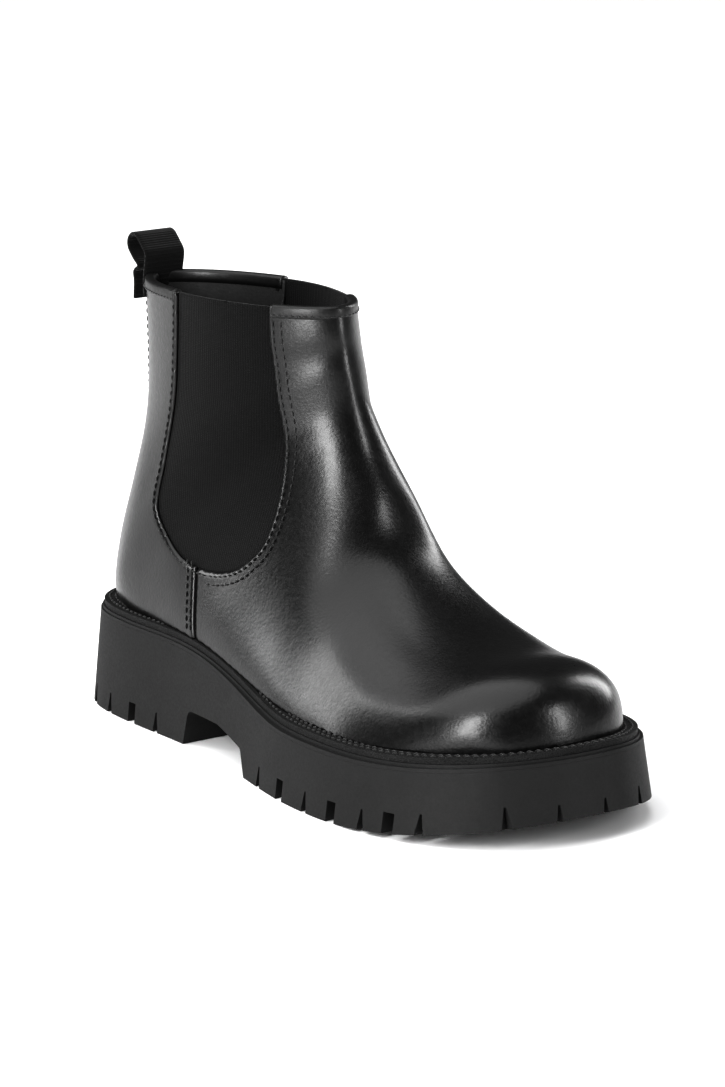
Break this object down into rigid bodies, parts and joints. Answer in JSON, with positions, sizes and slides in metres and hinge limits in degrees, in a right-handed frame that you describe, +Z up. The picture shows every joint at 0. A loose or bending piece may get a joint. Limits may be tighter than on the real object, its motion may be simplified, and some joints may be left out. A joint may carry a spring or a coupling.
{
  "type": "chelsea boot",
  "caption": "Black leather chelsea boot for the right foot, with elastic side gores, a webbing pull tab and a thick flared rubber sole.",
  "frame": {"origin": "on the ground under the middle of the sole", "axes": "+X to the toe, +Y to the inner side of the foot, +Z up"},
  "size_m": [0.2993, 0.1228, 0.1913],
  "materials": {
    "outsole_rubber": "matte",
    "core_foam": "matte",
    "welt_rubber": "matte",
    "thread": "matte",
    "spring_steel": "satin",
    "nail_steel": "satin",
    "cork": "matte",
    "board": "matte",
    "footbed_fabric": "matte",
    "upper_leather": "gloss",
    "lining_leather": "matte",
    "stiffener": "matte",
    "elastic": "matte",
    "webbing": "matte"
  },
  "bodies": {
    "root": {"outsole": "outsole_rubber", "heel_core": "core_foam", "forefoot_core": "core_foam", "midsole": "outsole_rubber", "welt": "welt_rubber", "welt_stitching": "thread", "shank": "spring_steel", "shank_rivets": "nail_steel", "heel_nails": "nail_steel", "cork_filler": "cork", "insole_board": "board", "footbed": "footbed_fabric", "vamp": "upper_leather", "vamp_lining": "lining_leather", "quarter_heel": "upper_leather", "heel_lining": "lining_leather", "heel_counter": "stiffener", "toe_puff": "stiffener", "gore_lateral": "elastic", "gore_medial": "elastic", "back_strip_lower": "upper_leather", "collar_binding_front": "upper_leather"},
    "back_shaft": {"quarter_shaft": "upper_leather", "shaft_lining": "lining_leather", "back_strip_upper": "upper_leather", "collar_binding_rear": "upper_leather"},
    "tab": {"pull_tab": "webbing"}
  },
  "joints": [
    {"name": "shaft_open", "type": "hinge", "parent": "root", "child": "back_shaft", "pos_m": [-0.1385, 0, 0.0862], "axis": [0, -1, 0], "range_deg": [0, 9], "stiffness_Nm_per_rad": 30},
    {"name": "tab_fold", "type": "hinge", "parent": "back_shaft", "child": "tab", "pos_m": [-0.1309, 0, 0.18069], "axis": [0, -1, 0], "range_deg": [-60, 35], "stiffness_Nm_per_rad": 0.02}
  ]
}
